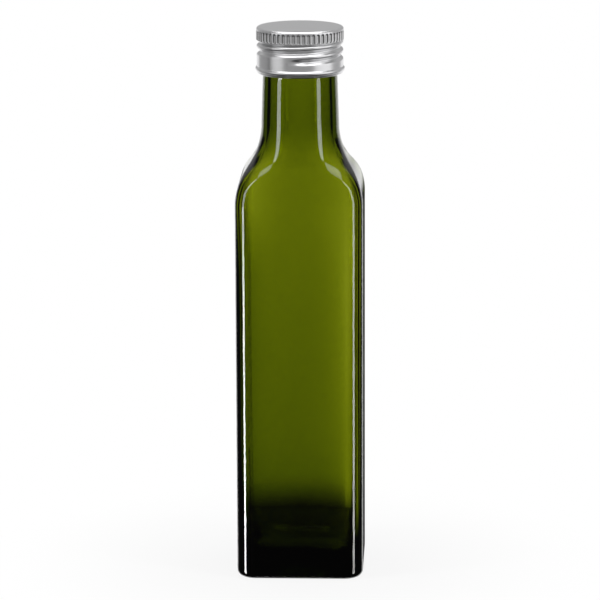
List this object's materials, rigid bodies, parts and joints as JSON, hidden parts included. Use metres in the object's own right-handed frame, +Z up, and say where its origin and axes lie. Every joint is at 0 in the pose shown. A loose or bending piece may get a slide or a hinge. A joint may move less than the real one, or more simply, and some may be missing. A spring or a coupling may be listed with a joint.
{
  "type": "square glass bottle with screw cap",
  "caption": "Empty square bottle of clear green glass with sloping shoulders, a round neck and a silver screw cap.",
  "frame": {"origin": "centre of the face that the bottle stands on", "axes": "+Z up through the mouth, +X and +Y square to the faces, +Y to the back"},
  "size_m": [0.046, 0.046, 0.2002],
  "materials": {
    "green_glass": "clear, deep yellow-green",
    "cap_aluminium": "satin silver"
  },
  "bodies": {
    "root": {"glass_bottle": "green_glass", "screw_cap": "cap_aluminium"}
  },
  "joints": []
}
